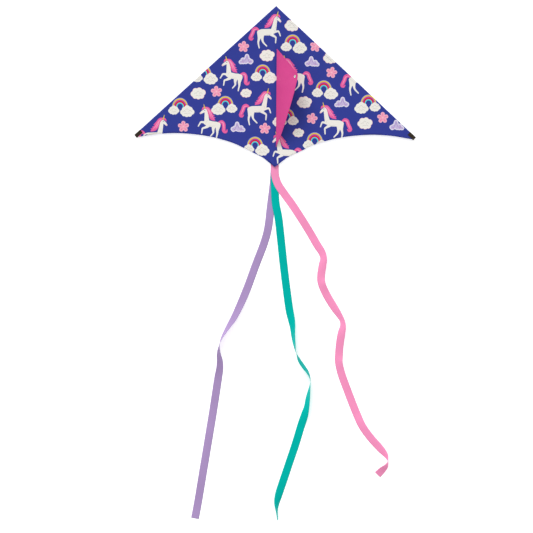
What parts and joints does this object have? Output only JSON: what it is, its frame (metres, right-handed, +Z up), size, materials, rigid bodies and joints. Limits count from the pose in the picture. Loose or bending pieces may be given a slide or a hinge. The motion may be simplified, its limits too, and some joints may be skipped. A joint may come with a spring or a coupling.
{
  "type": "delta kite",
  "caption": "Triangular single-line kite with a fabric keel under a rod frame and long ribbon tails, laid out flat keel side up.",
  "frame": {"origin": "on the surface the kite lies on, under the middle of the laid-out kite and tails", "axes": "+Y from the tails to the nose, +X to the right wing seen from the keel side, +Z up out of the keel side of the sail"},
  "size_m": [1.437, 2.622, 0.1376],
  "materials": {
    "sail_fabric": "coated woven nylon, printed",
    "keel_fabric": "coated woven nylon, plain",
    "ribbon_lilac": "satin ribbon",
    "ribbon_teal": "satin ribbon",
    "ribbon_pink": "satin ribbon",
    "webbing": "dark woven webbing",
    "fibreglass_rod": "pultruded fibreglass, black",
    "vinyl_cap": "soft vinyl, black",
    "nylon_fitting": "moulded nylon, black",
    "grommet_metal": "nickel plated"
  },
  "bodies": {
    "spine": {"spine_spar": "fibreglass_rod", "spine_sleeve": "sail_fabric", "centre_strip": "sail_fabric", "spine_cap_front": "vinyl_cap", "spine_cap_rear": "vinyl_cap", "nose_pocket": "webbing", "tail_pocket": "webbing"},
    "wing_left": {"sail_left": "sail_fabric", "leading_edge_sleeve_front_left": "sail_fabric", "leading_edge_sleeve_rear_left": "sail_fabric", "leading_edge_spar_left": "fibreglass_rod", "spar_cap_front_left": "vinyl_cap", "spar_cap_tip_left": "vinyl_cap", "wing_tip_pocket_left": "webbing", "spreader_patch_left": "sail_fabric"},
    "wing_right": {"sail_right": "sail_fabric", "leading_edge_sleeve_front_right": "sail_fabric", "leading_edge_sleeve_rear_right": "sail_fabric", "leading_edge_spar_right": "fibreglass_rod", "spar_cap_front_right": "vinyl_cap", "spar_cap_tip_right": "vinyl_cap", "wing_tip_pocket_right": "webbing", "spreader_patch_right": "sail_fabric"},
    "keel": {"keel_panel": "keel_fabric", "grommet_eyelet": "grommet_metal", "grommet_washer": "grommet_metal"},
    "spreader": {"spreader_rod": "fibreglass_rod", "spreader_cradle_left": "nylon_fitting", "spreader_cradle_right": "nylon_fitting"},
    "tail_lilac": {"tail_lilac": "ribbon_lilac"},
    "tail_teal": {"tail_teal": "ribbon_teal"},
    "tail_pink": {"tail_pink": "ribbon_pink"}
  },
  "joints": [
    {"name": "wing_left_fold", "type": "hinge", "parent": "spine", "child": "wing_left", "pos_m": [-0.006, 0.9, 0.01165], "axis": [0, 1, 0], "range_deg": [0, 88]},
    {"name": "wing_right_fold", "type": "hinge", "parent": "spine", "child": "wing_right", "pos_m": [0.006, 0.9, 0.01165], "axis": [0, -1, 0], "range_deg": [0, 88]},
    {"name": "keel_swing", "type": "hinge", "parent": "spine", "child": "keel", "pos_m": [0.005, 0.9, 0.0123], "axis": [0, -1, 0], "range_deg": [0, 40]},
    {"name": "spreader_slide", "type": "slide", "parent": "spine", "child": "spreader", "axis": [0, -1, 0], "range_m": [0, 0.12]},
    {"name": "tail_lilac_swing", "type": "hinge", "parent": "spine", "child": "tail_lilac", "pos_m": [0, 0.521, 0.002], "axis": [0, 0, -1], "range_deg": [-4, 20]},
    {"name": "tail_teal_swing", "type": "hinge", "parent": "spine", "child": "tail_teal", "pos_m": [0, 0.521, 0.002], "axis": [0, 0, 1], "range_deg": [-3, 3]},
    {"name": "tail_pink_swing", "type": "hinge", "parent": "spine", "child": "tail_pink", "pos_m": [0, 0.521, 0.002], "axis": [0, 0, 1], "range_deg": [-4, 20]}
  ],
  "couplings": [
    {"joint": "keel_swing", "follows": "wing_right_fold", "ratio": 0.4545}
  ]
}
